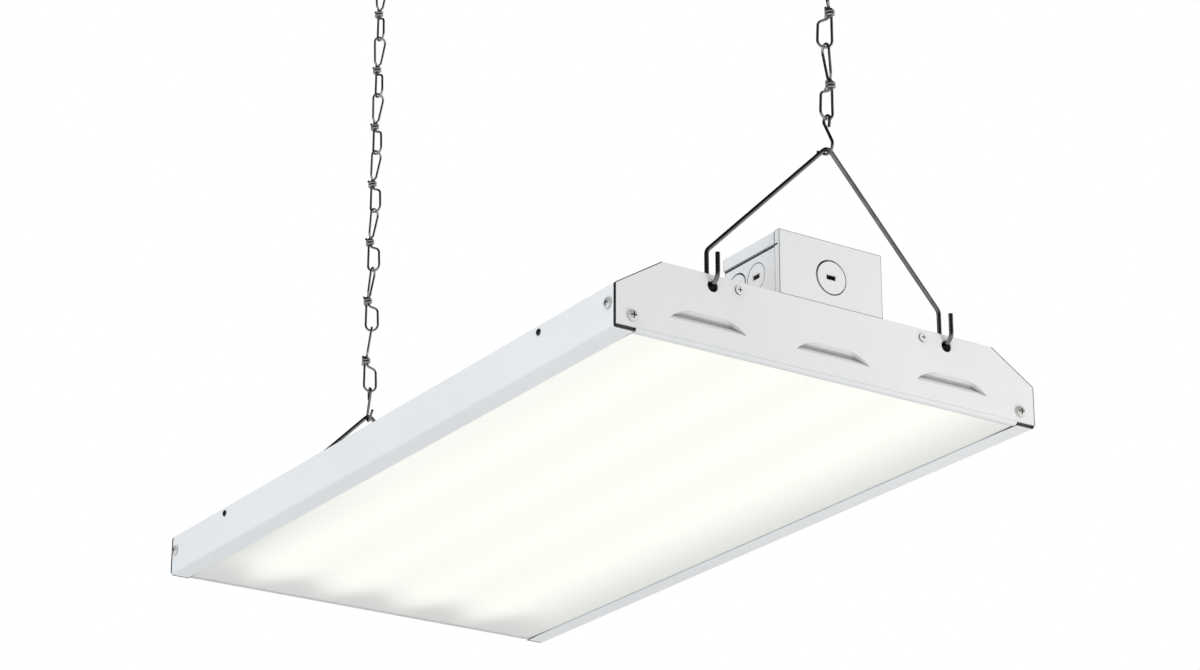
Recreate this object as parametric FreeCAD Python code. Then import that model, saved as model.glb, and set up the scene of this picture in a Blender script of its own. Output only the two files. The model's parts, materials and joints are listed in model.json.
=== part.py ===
import FreeCAD, Part
import math
import os

# Linear LED high bay light on two chains.
# Millimetres. X runs along the light, with the wiring box at the +X end, and Z is up.
# Shapes are made with Z = 0 at the light's underside, then moved so that Z = 0 is the ceiling.

# Sheet-metal body
light_length = 605.0
light_width = 330.0
light_height = 50.0
side_height = 29.0
shoulder_run = 34.0
sheet = 0.8
bend_radius = 1.0
lip_width = 15.0
end_lip = 4.0
end_bend = 1.2
plate_corner = 2.0
fit_gap = 0.3

# Louvre pockets pressed into the end plates
louvre_count = 3
louvre_pitch = 96.0
louvre_width = 58.0
louvre_base = 14.5
louvre_rise = 7.5
louvre_depth = 6.0
louvre_end_run = 18.0
louvre_brow = 2.0

# Screws of the body
body_screw_radius = 2.0
body_screw_length = 8.0
corner_screw_inset = 12.4
corner_screw_height = 9.4
corner_tab = 4.2
upper_screw_radius = 1.5
upper_screw_inset = 19.7
upper_screw_drop = 6.0
roof_tab_drop = 12.0
side_flange_height = 7.2
side_screw_inset = 7.5
side_flange = 14.0
pan_head_ratio = 1.85
pan_head_rise = 1.15
pan_recess_reach = 0.6
pan_recess_slot = 0.12

# Lens, tray, boards and chips
lens_thickness = 2.0
tray_flange = 6.0
tray_drop = 1.4
tray_end_gap = 22.0
tray_screw_radius = 1.2
tray_screw_length = 5.0
tray_screw_spacing = 431.0
board_count = 4
board_pitch = 66.7
board_end_gap = 5.5
board_width = 20.0
board_thickness = 1.6
board_screw_radius = 1.25
board_screw_length = 5.0
board_screw_inset = 11.0
chip_pitch = 22.0
chip_screw_gap = 6.0
chip_length = 3.0
chip_width = 2.8
chip_height = 0.8
plug_length = 9.0
plug_width = 8.0
plug_height = 5.0

# Drivers and their leads
driver_spacing = 130.0
driver_length = 190.0
driver_width = 40.0
driver_roof_gap = 5.3
driver_edge = 2.0
driver_foot = 14.0
driver_foot_thickness = 1.5
driver_screw_radius = 1.5
driver_screw_length = 5.0
lead_bay_count = 4
lead_setback = 24.0
board_lead_radius = 1.2
board_lead_spread = 1.6
grommet_bore = 3.4
grommet_wall = 1.6
grommet_rim = 1.4
supply_lead_radius = 1.0
supply_lead_gap = 0.9
supply_lead_bend = 4.0
driver_port_spread = 3.0
ground_screw_radius = 1.6
ground_screw_length = 5.0
ground_screw_setback = 30.0

# Wiring box on the roof
box_length = 61.0
box_width = 81.5
box_height = 44.0
box_sheet = 1.0
box_edge_strip = 5.0
cover_flange = 9.0
cover_tab = 14.0
cover_screw_radius = 1.5
cover_screw_length = 7.0
knockout_radius = 11.8
knockout_drop = 2.6
side_knockout_radius = 9.3
side_knockout_gap = 1.9
side_knockout_setback = 6.5
side_knockout_rise = 2.0
pry_slot_length = 7.4
pry_slot_width = 3.4
knockout_spring = 0.45
bushing_bore = 7.5
bushing_wall = 2.0
bushing_rim = 2.5
rivet_radius = 1.6
rivet_head_rise = 1.0
rivet_spacing_x = 40.0
rivet_spacing_y = 60.0
splice_length = 10.0
splice_width = 18.0
splice_height = 16.0
splice_pitch = 12.0
splice_top_gap = 4.2
splice_edge = 1.2

# V-shaped wire hangers
hook_spacing = 185.0
hook_hole_drop = 7.5
hook_hole_radius = 4.0
hook_notch_width = 9.0
hook_notch_depth = 14.0
hanger_wire = 3.0
hanger_clearance = 0.75
hanger_bend = 6.0
hanger_tail = 19.0
hanger_shoulder = 24.5
hanger_rise = 117.0
hanger_shoulder_bend = 6.0
hanger_apex_bend = 4.5

# S-hooks
s_hook_wire = 2.0
s_hook_height = 27.1
s_hook_eye = 3.2
s_hook_eye_close = 12.0
s_hook_eye_tail = 5.0
s_hook_bend = 5.4
s_hook_open = -120.0
s_hook_tip = 9.0
near_hook_angle = 0.0
far_hook_angle = 165.0

# Chains of knotted wire links, each with a loop above its knot and a loop below
link_wire = 1.8
link_count = 7
loop_inner_width = 8.0
loop_pitch = 26.0
loop_play = 0.4
bow_flat = 0.1
upper_neck_width = 5.6
upper_neck_rise = 2.0
upper_neck_bend = 3.0
lower_shoulder_width = 8.6
lower_shoulder_rise = 3.0
lower_shoulder_bend = 4.0
knot_drop = 1.5
knot_turns = 2
knot_wrap_gap = 0.45
knot_pinch = 0.2
knot_bite = 0.35
knot_margin = 1.0
knot_bend = 2.2

# Ceiling fittings
ceiling_hook_wire = 3.5
ceiling_hook_radius = 8.0
ceiling_hook_neck = 5.0
ceiling_hook_tip = -200.0
ceiling_hook_height = 38.0
ceiling_collar_radius = 4.5
ceiling_collar_height = 2.0
ceiling_plate_length = 58.0
ceiling_plate_width = 24.0
ceiling_plate_thickness = 3.0
ceiling_plate_corner = 9.0
ceiling_hole_spacing = 40.0
ceiling_hole_radius = 2.25
ceiling_countersink = 2.0

Vec = FreeCAD.Vector
ORIGIN = Vec(0, 0, 0)
X_AXIS = Vec(1, 0, 0)
Y_AXIS = Vec(0, 1, 0)
Z_AXIS = Vec(0, 0, 1)
SIDES = (-1, 1)

# Places that several pieces share
end_x = light_length / 2
half_width = light_width / 2
housing_end = end_x - sheet - fit_gap
wall_inside = half_width - sheet
roof_inside = light_height - sheet
lip_inside = half_width - lip_width
louvre_end_radius = (louvre_end_run**2 + louvre_rise**2) / (2 * louvre_rise)
lens_top = sheet + lens_thickness
tray_z = side_height - tray_drop - tray_flange
tray_top = tray_z + sheet
tray_end = end_x - tray_end_gap
board_under = tray_z - board_thickness
board_end = tray_end - board_end_gap
board_screw_x = board_end - board_screw_inset
chip_count = 2 * int((board_screw_x - chip_screw_gap) / chip_pitch + 0.5)
hook_y = hook_spacing / 2
hook_hole_height = light_height - hook_hole_drop
upper_screw_y = hook_y - upper_screw_inset
upper_screw_z = light_height - upper_screw_drop
corner_screw_y = half_width - corner_screw_inset
side_screw_x = end_x - side_screw_inset
side_flange_low = corner_screw_height + corner_tab + fit_gap
side_flange_high = side_flange_low + side_flange_height
side_screw_height = side_flange_low + side_flange_height / 2
driver_y = driver_spacing / 2
lead_x = -lead_bay_count * chip_pitch
driver_far = lead_x + lead_setback
driver_near = driver_far + driver_length
driver_foot_top = tray_top + driver_foot_thickness
driver_top = roof_inside - driver_roof_gap
driver_port_z = (driver_foot_top + driver_top) / 2
box_far = end_x - box_length
box_top = light_height + box_height
box_middle = end_x - box_length / 2
cover_under = box_top - sheet
tub_y = box_width / 2 - sheet - fit_gap
splice_under = cover_under - box_sheet - splice_top_gap - splice_height
supply_lead_spread = (bushing_bore - supply_lead_radius - supply_lead_gap) / 2
side_knockout_spacing = 2 * side_knockout_radius + side_knockout_gap
ground_screw_x = box_middle - ground_screw_setback

# Heights of the suspension, from the hook holes up to the ceiling
pivot_x = end_x - sheet / 2
pivot_z = hook_hole_height + hook_hole_radius - hanger_clearance - hanger_wire / 2
apex_corner = Vec(pivot_x, 0, pivot_z + hanger_rise)
shoulder_corner = Vec(pivot_x - hanger_bend, hook_y, pivot_z + hanger_shoulder)
apex_half_turn = math.pi / 2 - math.asin(hook_y / shoulder_corner.distanceToPoint(apex_corner))
apex_z = apex_corner.z - hanger_apex_bend * (1 / math.cos(apex_half_turn) - 1)
s_hook_low = apex_z - (hanger_wire + s_hook_wire) / 2 - loop_play
s_hook_top = s_hook_low + s_hook_height
chain_low = s_hook_top - (s_hook_wire + link_wire) / 2 - loop_play
loop_count = 2 * link_count
loop_radius = (loop_inner_width + link_wire) / 2
loop_reach = (loop_pitch + link_wire + loop_play) / 2
top_loop_z = chain_low + loop_reach + (loop_count - 1) * loop_pitch
ceiling_hook_low = top_loop_z + loop_reach - (link_wire + ceiling_hook_wire) / 2 - loop_play
ceiling_z = ceiling_hook_low + ceiling_hook_height
swing_z = top_loop_z - 2 * loop_pitch + loop_reach
knot_neck = (link_wire - knot_pinch) / math.sqrt(2)
knot_offset = loop_radius - knot_neck
knot_wrap_radius = knot_neck + link_wire - knot_bite
knot_wrap_pitch = link_wire + knot_wrap_gap
knot_corners = 4 * knot_turns + 2
knot_half = ((knot_corners - 1) * knot_wrap_pitch / 4 + link_wire) / 2
knot_end = knot_half + knot_margin


def block(x0, x1, y0, y1, z0, z1):
    """Box between two corners."""
    return Part.makeBox(x1 - x0, y1 - y0, z1 - z0, Vec(x0, y0, z0))


def rod(start, direction, radius, length):
    """Straight round bar, also used as a drill."""
    return Part.makeCylinder(radius, length, start, direction)


def drill(at, axis, radius):
    """Short round cutter centred on a sheet."""
    reach = 4 * (sheet + box_sheet + fit_gap)
    return rod(at - axis * reach / 2, axis, radius, reach)


def join(shapes):
    """One solid from pieces that touch or overlap."""
    return shapes[0].fuse(shapes[1:]).removeSplitter()


def line_edge(edges, start, end):
    """Add a straight edge unless its ends coincide."""
    if start.distanceToPoint(end) > 1e-6:
        edges.append(Part.LineSegment(start, end).toShape())


def rounded_edges(points, radii):
    """Edges through the points, with a tangent arc at each inner point that has a radius."""
    edges = []
    start = points[0]
    for before, corner, after, radius in zip(points, points[1:], points[2:], radii):
        back = (before - corner).normalize()
        ahead = (after - corner).normalize()
        half_turn = (math.pi - back.getAngle(ahead)) / 2
        entry = corner + back * (radius * math.tan(half_turn))
        leave = corner + ahead * (radius * math.tan(half_turn))
        inward = (back + ahead).normalize()
        middle = corner + inward * (radius / math.cos(half_turn) - radius)
        line_edge(edges, start, entry)
        if radius > 0:
            edges.append(Part.Arc(entry, middle, leave).toShape())
        start = leave
    line_edge(edges, start, points[-1])
    return edges


def bent_wire(edges, radius):
    """Round wire swept along tangent edges."""
    first = edges[0]
    start = first.valueAt(first.FirstParameter)
    along = first.tangentAt(first.FirstParameter)
    ring = Part.Wire(Part.makeCircle(radius, start, along))
    return Part.Wire(edges).makePipeShell([ring], True, False)


def lead(points, radius, bend):
    """Insulated lead with the same bend at each inner point."""
    return bent_wire(rounded_edges(points, [bend] * (len(points) - 2)), radius)


def inner_side(points, normal, thickness):
    """The points moved inwards by a sheet's thickness, square to each stretch."""
    steps = [(after - before).normalize() for before, after in zip(points, points[1:])]
    inwards = [normal.cross(step) for step in steps]
    moved = [points[0] + inwards[0] * thickness]
    for corner, first, second in zip(points[1:-1], inwards, inwards[1:]):
        moved.append(corner + (first + second) * (thickness / (1 + first.dot(second))))
    moved.append(points[-1] + inwards[-1] * thickness)
    return moved


def folded_section(points, normal, thickness, bend):
    """Face of a folded sheet whose outer side runs through the points."""
    folds = len(points) - 2
    inside = inner_side(points, normal, thickness)[::-1]
    edges = rounded_edges(points, [bend + thickness] * folds)
    line_edge(edges, points[-1], inside[0])
    edges += rounded_edges(inside, [bend] * folds)
    line_edge(edges, inside[-1], points[0])
    return Part.Face(Part.Wire(edges))


def rounded_plate(points, radii, depth):
    """Plate with rounded corners, from the outline's points and the vector of its depth."""
    middle = (points[0] + points[-1]) * 0.5
    loop = [middle] + points + [middle]
    return Part.Face(Part.Wire(rounded_edges(loop, radii))).extrude(depth)


def pan_screw(seat, inward, radius, length):
    """Cross-recess pan-head screw whose head seats at a point."""
    head = pan_head_ratio * radius
    rise = pan_head_rise * radius
    rim = rise / 2
    crown_slope = math.radians(45)
    crown = Vec(head * math.cos(crown_slope), 0, rim + (rise - rim) * math.sin(crown_slope))
    edges = [
        Part.LineSegment(Vec(0, 0, -length), Vec(radius, 0, -length)).toShape(),
        Part.LineSegment(Vec(radius, 0, -length), Vec(radius, 0, 0)).toShape(),
        Part.LineSegment(Vec(radius, 0, 0), Vec(head, 0, 0)).toShape(),
        Part.LineSegment(Vec(head, 0, 0), Vec(head, 0, rim)).toShape(),
        Part.Arc(Vec(head, 0, rim), crown, Vec(0, 0, rise)).toShape(),
        Part.LineSegment(Vec(0, 0, rise), Vec(0, 0, -length)).toShape(),
    ]
    body = Part.Face(Part.Wire(edges)).revolve(ORIGIN, Z_AXIS, 360)
    reach = pan_recess_reach * head
    slot = pan_recess_slot * head
    across = block(-reach, reach, -slot, slot, rim, 2 * rise)
    along = block(-slot, slot, -reach, reach, rim, 2 * rise)
    body = body.cut([across, along])
    body.Placement = FreeCAD.Placement(seat, FreeCAD.Rotation(Z_AXIS, inward * -1))
    return body


def both_ends(shape):
    """The shape and its mirror image at the other end of the light."""
    return [shape, shape.mirror(ORIGIN, X_AXIS)]


def both_sides(shape):
    """The shape and its mirror image across the light."""
    return [shape, shape.mirror(ORIGIN, Y_AXIS)]


def four_corners(shape):
    """The shape at all four corners of the light."""
    return both_ends(shape) + both_ends(shape.mirror(ORIGIN, Y_AXIS))


def body_outline():
    """Outer corners of the body's cross-section, from the left foot over the roof."""
    half = [(half_width, 0), (half_width, side_height), (half_width - shoulder_run, light_height)]
    left = [Vec(0, -y, z) for y, z in half]
    right = [Vec(0, y, z) for y, z in reversed(half)]
    return left + right


def roof_hole(radius):
    return drill(Vec(box_middle, 0, light_height), Z_AXIS, radius)


def rivet_places():
    places = []
    for side_x in SIDES:
        for side_y in SIDES:
            x = box_middle + side_x * rivet_spacing_x / 2
            places.append(Vec(x, side_y * rivet_spacing_y / 2, light_height))
    return places


def housing():
    """Folded sheet with roof, shoulders, sides and lips, and tabs for the end plates."""
    outline = body_outline()
    left_lip = Vec(0, -lip_inside, 0)
    right_lip = Vec(0, lip_inside, 0)
    face = folded_section([left_lip] + outline + [right_lip], X_AXIS * -1, sheet, bend_radius)
    face.translate(Vec(-housing_end, 0, 0))
    shell = face.extrude(Vec(2 * housing_end, 0, 0))
    tongue_out = half_width - sheet - bend_radius
    tongue = block(housing_end, end_x, lip_inside, tongue_out, 0, sheet)
    tab_x = housing_end - sheet
    tab_low = corner_screw_height - corner_tab
    tab_high = corner_screw_height + corner_tab
    tab_y = corner_screw_y - corner_tab
    corner = block(tab_x, housing_end, tab_y, wall_inside, tab_low, tab_high)
    roof_tab_y = hook_y - hook_notch_width / 2 - sheet
    roof_tab_low = light_height - roof_tab_drop
    roof_tab = block(tab_x, housing_end, -roof_tab_y, roof_tab_y, roof_tab_low, roof_inside)
    shell = join([shell] + four_corners(tongue) + four_corners(corner) + both_ends(roof_tab))
    notch_y = hook_y - hook_notch_width / 2
    notch_x = housing_end - hook_notch_depth
    notch = block(
        notch_x, end_x, notch_y, notch_y + hook_notch_width, roof_inside - sheet, light_height + sheet
    )
    corner_hole = drill(
        Vec(housing_end, corner_screw_y, corner_screw_height), X_AXIS, body_screw_radius + fit_gap
    )
    upper_hole = drill(
        Vec(housing_end, upper_screw_y, upper_screw_z), X_AXIS, upper_screw_radius + fit_gap
    )
    side_hole = drill(
        Vec(side_screw_x, half_width, side_screw_height), Y_AXIS, body_screw_radius + fit_gap
    )
    tray_hole = drill(tray_screw_seat(), Y_AXIS, tray_screw_radius + fit_gap)
    cutters = [roof_hole(bushing_bore + bushing_wall + fit_gap)]
    for cutter in (notch, corner_hole, upper_hole, side_hole, tray_hole):
        cutters += four_corners(cutter)
    cutters += [drill(place, Z_AXIS, rivet_radius + fit_gap) for place in rivet_places()]
    return shell.cut(cutters)


def louvre(middle_y, grow):
    """Wedge, deepest below its top edge, that presses a louvre pocket into an end plate, or its skin."""
    low = louvre_base - grow
    arc_z = louvre_base + louvre_rise - louvre_end_radius
    radius = louvre_end_radius + grow
    flat = louvre_width / 2 - louvre_end_run
    foot_angle = math.acos((low - arc_z) / radius)
    foot = flat + radius * math.sin(foot_angle)
    half_arc = flat + radius * math.sin(foot_angle / 2)
    arc_middle = arc_z + radius * math.cos(foot_angle / 2)
    outline = [(-foot, low), (-half_arc, arc_middle), (-flat, arc_z + radius)]
    outline += [(-y, z) for y, z in reversed(outline)]
    points = [Vec(end_x, middle_y + y, z) for y, z in outline]
    edges = [
        Part.Arc(*points[:3]).toShape(),
        Part.makeLine(points[2], points[3]),
        Part.Arc(*points[3:]).toShape(),
        Part.makeLine(points[5], points[0]),
    ]
    run = louvre_rise - louvre_brow
    skin_foot = louvre_base - grow * math.hypot(louvre_depth, run) / louvre_depth
    skin_top = louvre_base + louvre_rise + grow * math.hypot(louvre_depth, louvre_brow) / louvre_depth
    depth = (skin_top - skin_foot) * louvre_depth / louvre_rise
    press = Part.Face(Part.Wire(edges)).extrude(Vec(-depth, 0, 0))
    front = [Vec(end_x, 0, skin_foot), Vec(end_x, 0, skin_top)]
    deepest = Vec(end_x - depth, 0, skin_foot + depth * run / louvre_depth)
    wedge = front + [deepest, front[0]]
    slope = Part.Face(Part.makePolygon(wedge))
    slope.translate(Vec(0, middle_y - foot, 0))
    return press.common(slope.extrude(Vec(0, 2 * foot, 0)))


def end_plate():
    """Near end plate: face with a rolled bottom edge, side flanges, louvres and holes."""
    top = Vec(end_x, -half_width, light_height)
    foot = Vec(end_x, -half_width, 0)
    rolled = [top, foot, Vec(end_x - end_lip, -half_width, 0)]
    face = folded_section(rolled, Y_AXIS, sheet, end_bend)
    rolled_sheet = face.extrude(Vec(0, light_width, 0))
    corners = [Vec(end_x - end_lip, point.y, point.z) for point in body_outline()]
    radii = [plate_corner] * len(corners)
    plate = rolled_sheet.common(rounded_plate(corners, radii, Vec(end_lip, 0, 0)))
    relief_y = lip_inside - fit_gap
    relief = block(end_x - end_lip, end_x, relief_y, half_width, 0, sheet + end_bend)
    plate = plate.cut(both_sides(relief))
    flange_x = end_x - sheet - side_flange
    flange_y = wall_inside - fit_gap
    flange = block(
        flange_x, end_x - sheet, flange_y - sheet, flange_y, side_flange_low, side_flange_high
    )
    middles = [(index - (louvre_count - 1) / 2) * louvre_pitch for index in range(louvre_count)]
    plate = join([plate] + both_sides(flange) + [louvre(middle, sheet) for middle in middles])
    corner_hole = drill(
        Vec(end_x, corner_screw_y, corner_screw_height), X_AXIS, body_screw_radius + fit_gap
    )
    upper_hole = drill(Vec(end_x, upper_screw_y, upper_screw_z), X_AXIS, upper_screw_radius + fit_gap)
    hook_hole = drill(Vec(end_x, hook_y, hook_hole_height), X_AXIS, hook_hole_radius)
    side_hole = drill(
        Vec(side_screw_x, flange_y, side_screw_height), Y_AXIS, body_screw_radius + fit_gap
    )
    cutters = [louvre(middle, 0) for middle in middles]
    for cutter in (corner_hole, upper_hole, hook_hole, side_hole):
        cutters += both_sides(cutter)
    return plate.cut(cutters)


def corner_screws():
    seat = Vec(end_x, corner_screw_y, corner_screw_height)
    screw = pan_screw(seat, X_AXIS * -1, body_screw_radius, body_screw_length)
    return Part.makeCompound(four_corners(screw))


def upper_screws():
    seat = Vec(end_x, upper_screw_y, upper_screw_z)
    screw = pan_screw(seat, X_AXIS * -1, upper_screw_radius, body_screw_length)
    return Part.makeCompound(four_corners(screw))


def side_screws():
    seat = Vec(side_screw_x, half_width, side_screw_height)
    screw = pan_screw(seat, Y_AXIS * -1, body_screw_radius, body_screw_length)
    return Part.makeCompound(four_corners(screw))


def tray_screw_seat():
    return Vec(tray_screw_spacing / 2, half_width, tray_z + tray_flange / 2)


def tray_screws():
    screw = pan_screw(tray_screw_seat(), Y_AXIS * -1, tray_screw_radius, tray_screw_length)
    return Part.makeCompound(four_corners(screw))


def lens():
    """Frosted panel that lies on the lips."""
    across = wall_inside - bend_radius - fit_gap
    along = end_x - sheet - end_bend - fit_gap
    return block(-along, along, -across, across, sheet, lens_top)


def board_middles():
    return [(index - (board_count - 1) / 2) * board_pitch for index in range(board_count)]


def board_screw_places(middle):
    return [Vec(x, middle, board_under) for x in (-board_screw_x, 0, board_screw_x)]


def driver_screw_places(side):
    inset = driver_foot / 2
    ends = (driver_far - inset, driver_near + inset)
    return [Vec(x, side * driver_y, driver_foot_top) for x in ends]


def gear_tray():
    """White tray that carries boards below and drivers above."""
    across = wall_inside - fit_gap
    points = [
        Vec(-tray_end, -across, tray_z + tray_flange),
        Vec(-tray_end, -across, tray_z),
        Vec(-tray_end, across, tray_z),
        Vec(-tray_end, across, tray_z + tray_flange),
    ]
    tray = folded_section(points, X_AXIS, sheet, bend_radius).extrude(Vec(2 * tray_end, 0, 0))
    cutters = four_corners(drill(tray_screw_seat(), Y_AXIS, tray_screw_radius + fit_gap))
    for middle in board_middles():
        for place in board_screw_places(middle):
            cutters.append(rod(place, Z_AXIS, board_screw_radius + fit_gap, board_screw_length))
    for side in SIDES:
        for place in driver_screw_places(side):
            cutters.append(drill(place, Z_AXIS, driver_screw_radius + fit_gap))
        cutters.append(drill(Vec(lead_x, side * driver_y, tray_z), Z_AXIS, grommet_bore + grommet_wall))
    ground = Vec(ground_screw_x, 0, tray_z)
    cutters.append(drill(ground, Z_AXIS, ground_screw_radius + fit_gap))
    return tray.cut(cutters)


def led_board(middle):
    half = board_width / 2
    board = block(-board_end, board_end, middle - half, middle + half, board_under, tray_z)
    radius = board_screw_radius + fit_gap
    holes = [rod(place, Z_AXIS, radius, board_thickness) for place in board_screw_places(middle)]
    return board.cut(holes)


def led_chips(middle):
    chips = []
    for index in range(chip_count):
        x = (index - (chip_count - 1) / 2) * chip_pitch
        low = board_under - chip_height
        chips.append(
            block(
                x - chip_length / 2, x + chip_length / 2,
                middle - chip_width / 2, middle + chip_width / 2, low, board_under
            )
        )
    return Part.makeCompound(chips)


def board_screws():
    screws = []
    for middle in board_middles():
        for place in board_screw_places(middle):
            screws.append(pan_screw(place, Z_AXIS, board_screw_radius, board_screw_length))
    return Part.makeCompound(screws)


def board_plugs():
    """One lead connector under each board."""
    plugs = []
    for middle in board_middles():
        plugs.append(
            block(
                lead_x - plug_length / 2, lead_x + plug_length / 2,
                middle - plug_width / 2, middle + plug_width / 2,
                board_under - plug_height, board_under
            )
        )
    return Part.makeCompound(plugs)


def board_leads():
    """Lead from a driver's far end down through the tray to each board."""
    leads = []
    low = board_under - plug_height / 2
    for middle in board_middles():
        side = 1 if middle > 0 else -1
        turn = 1 if middle > side * driver_y else -1
        y = side * driver_y + turn * board_lead_spread
        points = [
            Vec(driver_far, y, driver_port_z),
            Vec(lead_x, y, driver_port_z),
            Vec(lead_x, y, low),
            Vec(lead_x, middle - turn * plug_width / 2, low),
        ]
        leads.append(lead(points, board_lead_radius, 2 * board_lead_radius))
    return Part.makeCompound(leads)


def tray_grommets():
    """Rubber rings that line the lead holes of the tray."""
    grommets = []
    outer = grommet_bore + grommet_wall
    for side in SIDES:
        foot = Vec(lead_x, side * driver_y, tray_z - grommet_rim)
        head = Vec(lead_x, side * driver_y, tray_top)
        barrel = rod(foot, Z_AXIS, outer, sheet + 2 * grommet_rim)
        rims = [rod(start, Z_AXIS, outer + grommet_rim, grommet_rim) for start in (foot, head)]
        ring = join([barrel] + rims)
        grommets.append(ring.cut(rod(foot, Z_AXIS, grommet_bore, sheet + 2 * grommet_rim)))
    return Part.makeCompound(grommets)


def driver(side):
    """LED driver case with a foot at each end."""
    y = side * driver_y
    half = driver_width / 2
    case = block(driver_far, driver_near, y - half, y + half, tray_top, driver_top)
    long_edges = [edge for edge in case.Edges if abs(edge.tangentAt(0).z) > 0.9]
    case = case.makeFillet(driver_edge, long_edges)
    foot_half = half - driver_edge
    far = driver_far - driver_foot
    near = driver_near + driver_foot
    feet = block(far, near, y - foot_half, y + foot_half, tray_top, driver_foot_top)
    case = join([case, feet])
    holes = [drill(place, Z_AXIS, driver_screw_radius + fit_gap) for place in driver_screw_places(side)]
    return case.cut(holes)


def driver_screws():
    screws = []
    for side in SIDES:
        for place in driver_screw_places(side):
            screws.append(pan_screw(place, Z_AXIS * -1, driver_screw_radius, driver_screw_length))
    return Part.makeCompound(screws)


def supply_lead(side, lane, splice_x):
    """Lead from a splice connector through the bushing to a driver."""
    y = side * lane * supply_lead_spread
    port_y = side * (driver_y + (2 * lane - 3) * driver_port_spread)
    step = supply_lead_bend + supply_lead_radius
    bushing_top = light_height + box_sheet + bushing_rim
    points = [
        Vec(splice_x, y, splice_under),
        Vec(splice_x, y, splice_under - step),
        Vec(box_middle, y, bushing_top + step / 2),
        Vec(box_middle, y, roof_inside - bushing_rim - 2 * step),
        Vec(driver_near + driver_foot + step, port_y, driver_port_z),
        Vec(driver_near, port_y, driver_port_z),
    ]
    return lead(points, supply_lead_radius, supply_lead_bend)


def line_leads():
    return Part.makeCompound([supply_lead(side, 2, box_middle + splice_pitch) for side in SIDES])


def neutral_leads():
    return Part.makeCompound([supply_lead(side, 1, box_middle - splice_pitch) for side in SIDES])


def ground_lead():
    """Lead from the ground splice down to the ground screw on the tray."""
    height = tray_top + supply_lead_radius
    head = pan_head_ratio * ground_screw_radius
    points = [
        Vec(box_middle, 0, splice_under),
        Vec(box_middle, 0, height),
        Vec(ground_screw_x + head, 0, height),
    ]
    return lead(points, supply_lead_radius, supply_lead_bend)


def ground_screw():
    seat = Vec(ground_screw_x, 0, tray_top)
    return pan_screw(seat, Z_AXIS * -1, ground_screw_radius, ground_screw_length)


def splice_connectors():
    """Three push-in connectors that stand on the leads inside the wiring box."""
    connectors = []
    for index in (-1, 0, 1):
        x = box_middle + index * splice_pitch
        shape = block(
            x - splice_length / 2, x + splice_length / 2, -splice_width / 2, splice_width / 2,
            splice_under, splice_under + splice_height
        )
        upright = [edge for edge in shape.Edges if abs(edge.tangentAt(0).z) > 0.9]
        connectors.append(shape.makeFillet(splice_edge, upright))
    return Part.makeCompound(connectors)


def wire_bushing():
    """Plastic ring that lines the wire hole between the box and the roof."""
    outer = bushing_bore + bushing_wall
    floor = light_height + box_sheet
    barrel = rod(Vec(box_middle, 0, roof_inside), Z_AXIS, outer, floor - roof_inside)
    lower = Vec(box_middle, 0, roof_inside - bushing_rim)
    upper = Vec(box_middle, 0, floor)
    rims = [rod(start, Z_AXIS, outer + bushing_rim, bushing_rim) for start in (lower, upper)]
    height = floor - roof_inside + 2 * bushing_rim
    return join([barrel] + rims).cut(rod(lower, Z_AXIS, bushing_bore, height))


def near_knockout():
    """Middle of the knockout in the wall above the near end plate."""
    return Vec(end_x - box_sheet, 0, light_height + box_height / 2 - knockout_drop)


def side_knockouts(side):
    """Middles of the knockouts in one long wall of the wiring box, on its inner face."""
    height = (light_height + box_sheet + box_top - cover_flange) / 2 + side_knockout_rise
    places = []
    for step in SIDES:
        x = box_middle - side_knockout_setback + step * side_knockout_spacing / 2
        places.append(Vec(x, side * (tub_y - box_sheet), height))
    return places


def cover_screw_places():
    inset = cover_tab / 2
    return [Vec(x, 0, box_top) for x in (box_far + box_sheet + inset, end_x - box_sheet - inset)]


def wiring_box():
    """Open sheet-metal box on the roof, flush with the near end plate."""
    tub = block(box_far, end_x, -tub_y, tub_y, light_height, cover_under)
    floor = light_height + box_sheet
    inside = block(
        box_far + box_sheet, end_x - box_sheet, -tub_y + box_sheet, tub_y - box_sheet, floor, box_top
    )
    tub = tub.cut(inside)
    half = box_width / 2
    wall = block(end_x - box_sheet, end_x, -half, half, light_height, box_top)
    strip = block(end_x - box_edge_strip, end_x, half - box_sheet, half, light_height, box_top)
    tab_low = cover_under - box_sheet
    tab_half = cover_tab / 2
    far_tab = block(box_far, box_far + box_sheet + cover_tab, -tab_half, tab_half, tab_low, cover_under)
    near_tab = block(end_x - box_sheet - cover_tab, end_x, -tab_half, tab_half, tab_low, cover_under)
    box = join([tub, wall, far_tab, near_tab] + both_sides(strip))
    cutters = [roof_hole(bushing_bore + bushing_wall + fit_gap)]
    cutters += [drill(place, Z_AXIS, rivet_radius + fit_gap) for place in rivet_places()]
    for place in cover_screw_places():
        cutters.append(drill(place, Z_AXIS, cover_screw_radius + fit_gap))
    cutters.append(rod(near_knockout(), X_AXIS, knockout_radius, box_sheet))
    for side in SIDES:
        for place in side_knockouts(side):
            cutters.append(rod(place, Y_AXIS * side, side_knockout_radius, box_sheet))
    return box.cut(cutters)


def knockout(middle, outward, radius, spring):
    """Round blank in a box wall, sprung along the wall, with a slot to pry it out."""
    along = Z_AXIS.cross(outward)
    disc = rod(middle + along * spring, outward, radius - fit_gap - abs(spring), box_sheet)
    corner = middle - along * (pry_slot_length / 2) - Z_AXIS * (pry_slot_width / 2)
    sides = [corner]
    sides.append(corner + along * pry_slot_length)
    sides.append(sides[1] + Z_AXIS * pry_slot_width)
    sides.append(corner + Z_AXIS * pry_slot_width)
    slot = Part.Face(Part.makePolygon(sides + [corner])).extrude(outward * box_sheet)
    return disc.cut(slot)


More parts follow.
